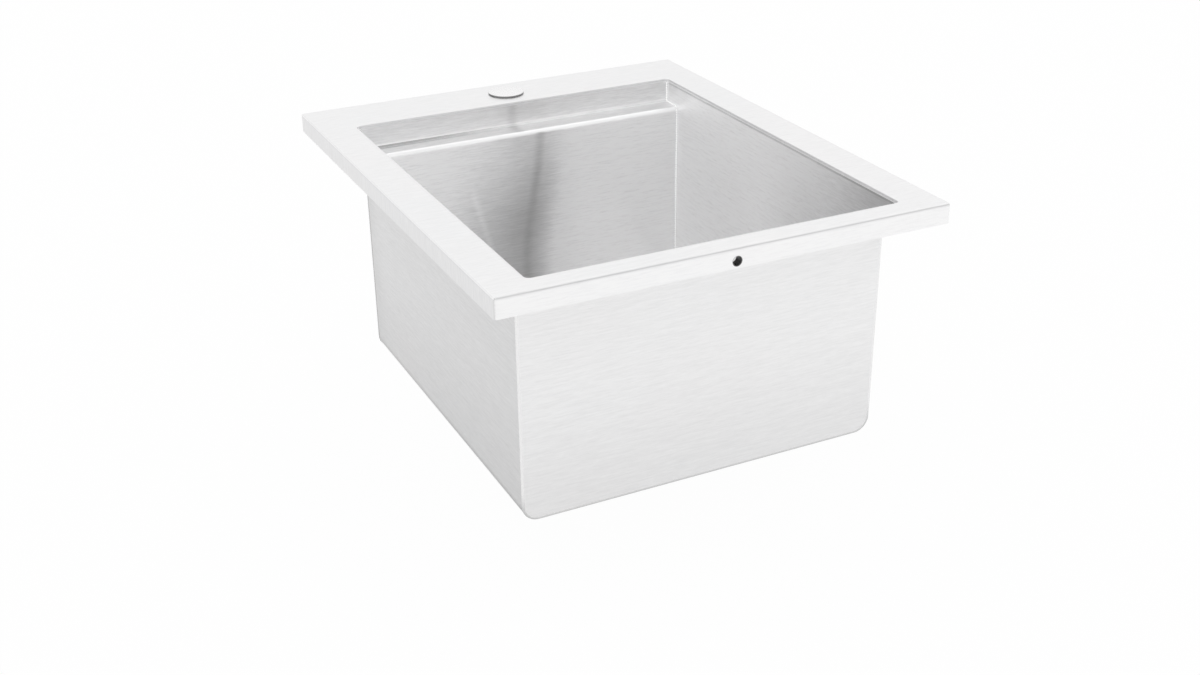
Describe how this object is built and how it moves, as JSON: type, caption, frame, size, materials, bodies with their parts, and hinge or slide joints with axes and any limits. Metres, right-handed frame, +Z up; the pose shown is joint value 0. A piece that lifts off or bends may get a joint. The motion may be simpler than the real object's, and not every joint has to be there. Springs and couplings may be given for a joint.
{
  "type": "outdoor drop-in sink",
  "caption": "Deep rectangular steel drop-in sink with a turned-down apron, stepped ledges inside the bowl, a capped tap hole and a basket strainer.",
  "frame": {"origin": "centre of the deck's outline in the plane of the counter that its lip stands on", "axes": "+X to the right, +Y to the back where the tap hole is, +Z up out of the bowl"},
  "size_m": [0.457, 0.546, 0.3231],
  "materials": {
    "deck_steel": "fine straight brush lines along the sheet",
    "wrap_steel": "fine horizontal brush lines",
    "panel_steel": "fine horizontal brush lines",
    "weld_steel": "ground and polished weld",
    "rail_steel": "mill finish",
    "cap_steel": "fine satin",
    "fixing_steel": "turned",
    "strainer_steel": "satin",
    "basket_steel": "polished",
    "nut_metal": "as cast",
    "brass": "plain",
    "rubber": "matte black",
    "fibre": "pressed fibre"
  },
  "bodies": {
    "sink": {"deck": "deck_steel", "bowl_wrap": "wrap_steel", "front_panel": "panel_steel", "rear_panel": "panel_steel", "panel_welds": "weld_steel", "accessory_insert": "fixing_steel", "left_clip_rail": "rail_steel", "right_clip_rail": "rail_steel", "rear_clip_rails": "rail_steel", "hole_cap": "cap_steel", "cap_gasket": "rubber", "cap_stud": "fixing_steel", "strainer_body": "strainer_steel", "flange_seal": "rubber", "sink_gasket": "rubber"},
    "basket": {"basket_cup": "basket_steel", "basket_bush": "basket_steel"},
    "stopper": {"stopper_post": "fixing_steel", "stopper_knob": "basket_steel", "stopper_plate": "basket_steel", "stopper_rubber": "rubber", "stopper_retainer": "basket_steel"},
    "cap_clamp": {"cap_washer": "fixing_steel"},
    "cap_nut": {"wing_nut": "brass"},
    "drain_ring": {"friction_ring": "fibre"},
    "drain_nut": {"lock_nut": "nut_metal"}
  },
  "joints": [
    {"name": "basket_lift", "type": "slide", "parent": "sink", "child": "basket", "axis": [0, 0, 1], "range_m": [0, 0.06]},
    {"name": "stopper_slide", "type": "slide", "parent": "basket", "child": "stopper", "axis": [0, 0, 1], "range_m": [0, 0.008]},
    {"name": "washer_travel", "type": "slide", "parent": "sink", "child": "cap_clamp", "axis": [0, 0, -1], "range_m": [0, 0.0175]},
    {"name": "wing_nut_turn", "type": "hinge", "parent": "cap_clamp", "child": "cap_nut", "pos_m": [0, 0.2375, 0.0128], "axis": [0, 0, -1], "range_deg": [0, 5040]},
    {"name": "friction_ring_travel", "type": "slide", "parent": "sink", "child": "drain_ring", "axis": [0, 0, -1], "range_m": [0, 0.0176]},
    {"name": "lock_nut_turn", "type": "hinge", "parent": "drain_ring", "child": "drain_nut", "pos_m": [0, -0.023, -0.2485], "axis": [0, 0, -1], "range_deg": [0, 2880]}
  ],
  "couplings": [
    {"joint": "wing_nut_turn", "follows": "washer_travel", "rad_per_m": 5026.5},
    {"joint": "lock_nut_turn", "follows": "friction_ring_travel", "rad_per_m": 2856}
  ]
}
